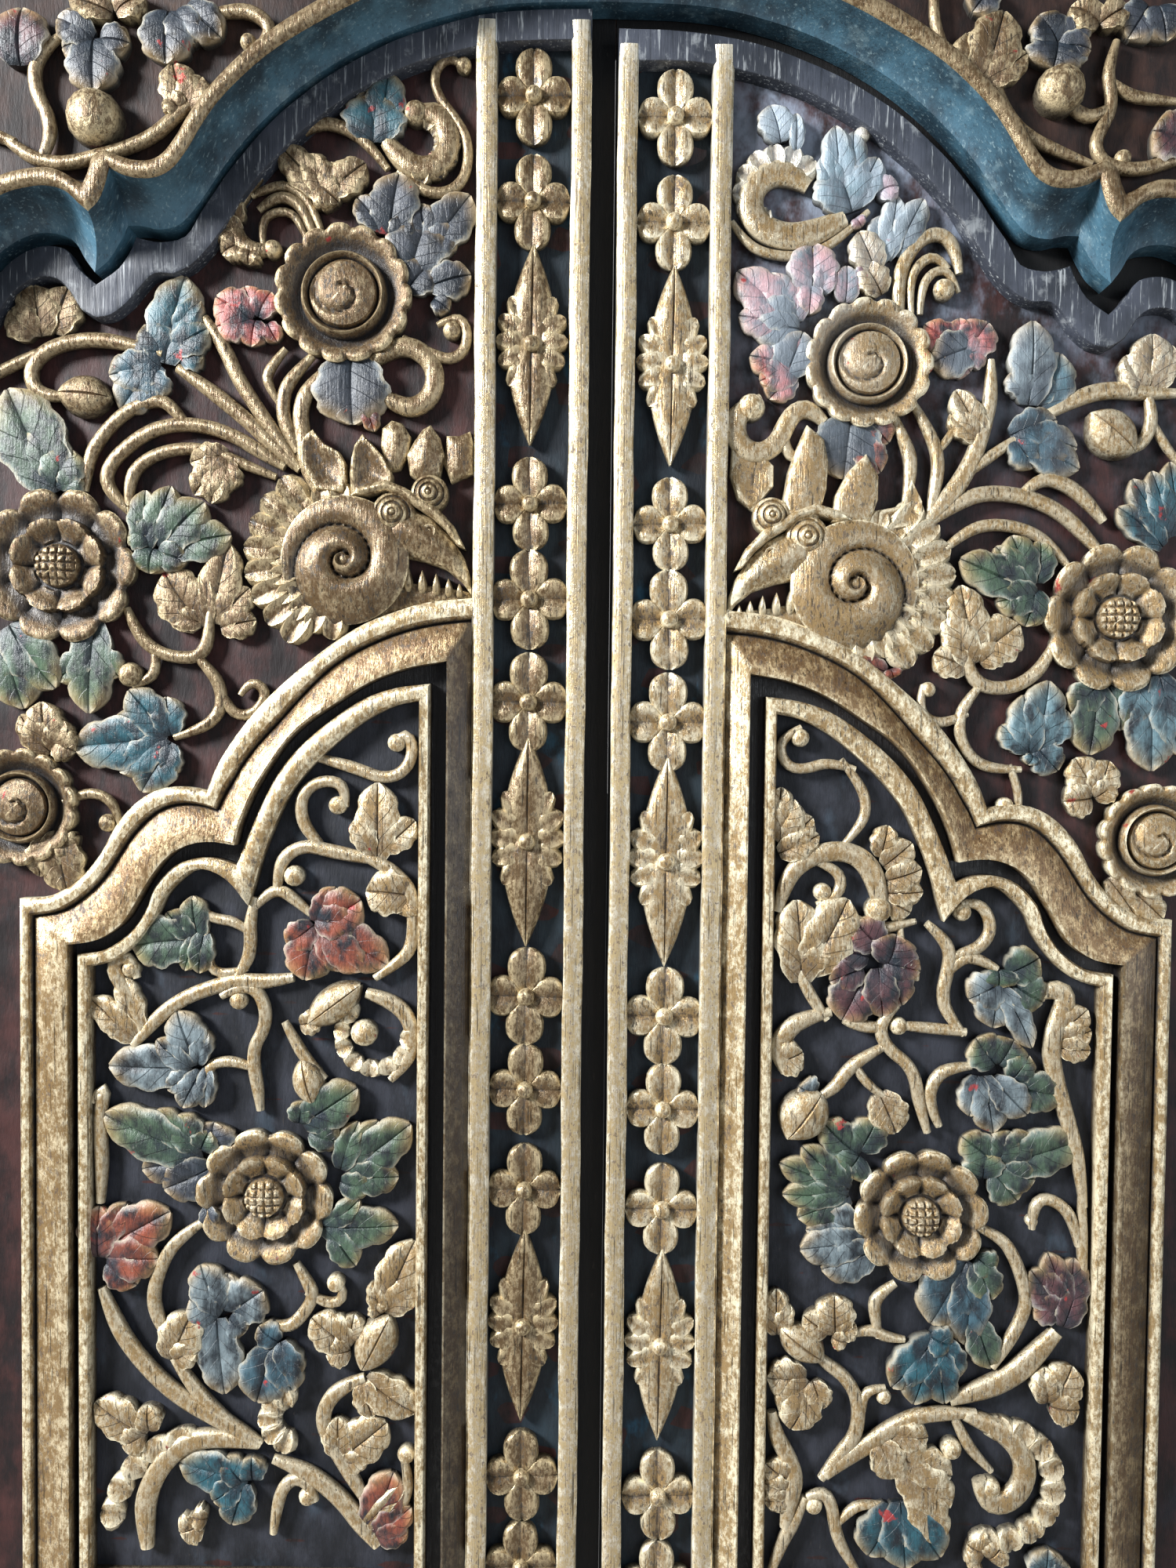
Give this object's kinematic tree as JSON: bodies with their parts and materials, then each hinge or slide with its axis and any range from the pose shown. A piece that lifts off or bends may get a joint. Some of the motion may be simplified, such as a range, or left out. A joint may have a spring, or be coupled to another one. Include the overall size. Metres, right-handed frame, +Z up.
{
  "type": "carved double door with frame",
  "caption": "Carved wooden double door with pivoting leaves in a lobed-arch frame: gilded relief flowers, framed panels and a plain battened back with a sliding bar.",
  "frame": {"origin": "middle of the sill's underside, on the line where the leaves meet", "axes": "+Z up, +X to the right seen from the carved side, +Y into the room, so the carved face looks to -Y"},
  "size_m": [1.22, 0.145, 2.15],
  "materials": {
    "leaf_wood": "worn gold leaf over carved wood",
    "painted_frame": "worn paint and gold leaf",
    "frame_wood": "dark old wood",
    "back_wood": "bare old wood",
    "peg_wood": "bare wood end grain",
    "pivot_iron": "dark oiled iron"
  },
  "bodies": {
    "frame": {"sill": "frame_wood", "left_jamb": "painted_frame", "right_jamb": "painted_frame", "head_board": "painted_frame", "lintel": "frame_wood", "head_pegs": "peg_wood", "left_sill_socket": "pivot_iron", "right_sill_socket": "pivot_iron", "left_lintel_socket": "pivot_iron", "right_lintel_socket": "pivot_iron"},
    "left_leaf": {"left_leaf": "leaf_wood", "left_lower_batten": "back_wood", "left_middle_batten": "back_wood", "left_upper_batten": "back_wood", "left_batten_pegs": "peg_wood", "left_lower_pin": "pivot_iron", "left_upper_pin": "pivot_iron", "inner_keeper": "back_wood", "outer_keeper": "back_wood"},
    "right_leaf": {"right_leaf": "leaf_wood", "right_lower_batten": "back_wood", "right_middle_batten": "back_wood", "right_upper_batten": "back_wood", "right_batten_pegs": "peg_wood", "right_lower_pin": "pivot_iron", "right_upper_pin": "pivot_iron", "catch_keeper": "back_wood"},
    "bar": {"bar": "back_wood", "bar_knob": "back_wood"}
  },
  "joints": [
    {"name": "left_leaf_swing", "type": "hinge", "parent": "frame", "child": "left_leaf", "pos_m": [-0.473, 0.013, 0.064], "axis": [0, 0, 1], "range_deg": [0, 95]},
    {"name": "right_leaf_swing", "type": "hinge", "parent": "frame", "child": "right_leaf", "pos_m": [0.473, 0.013, 0.064], "axis": [0, 0, -1], "range_deg": [0, 95]},
    {"name": "bar_slide", "type": "slide", "parent": "left_leaf", "child": "bar", "axis": [1, 0, 0], "range_m": [0, 0.12]}
  ]
}
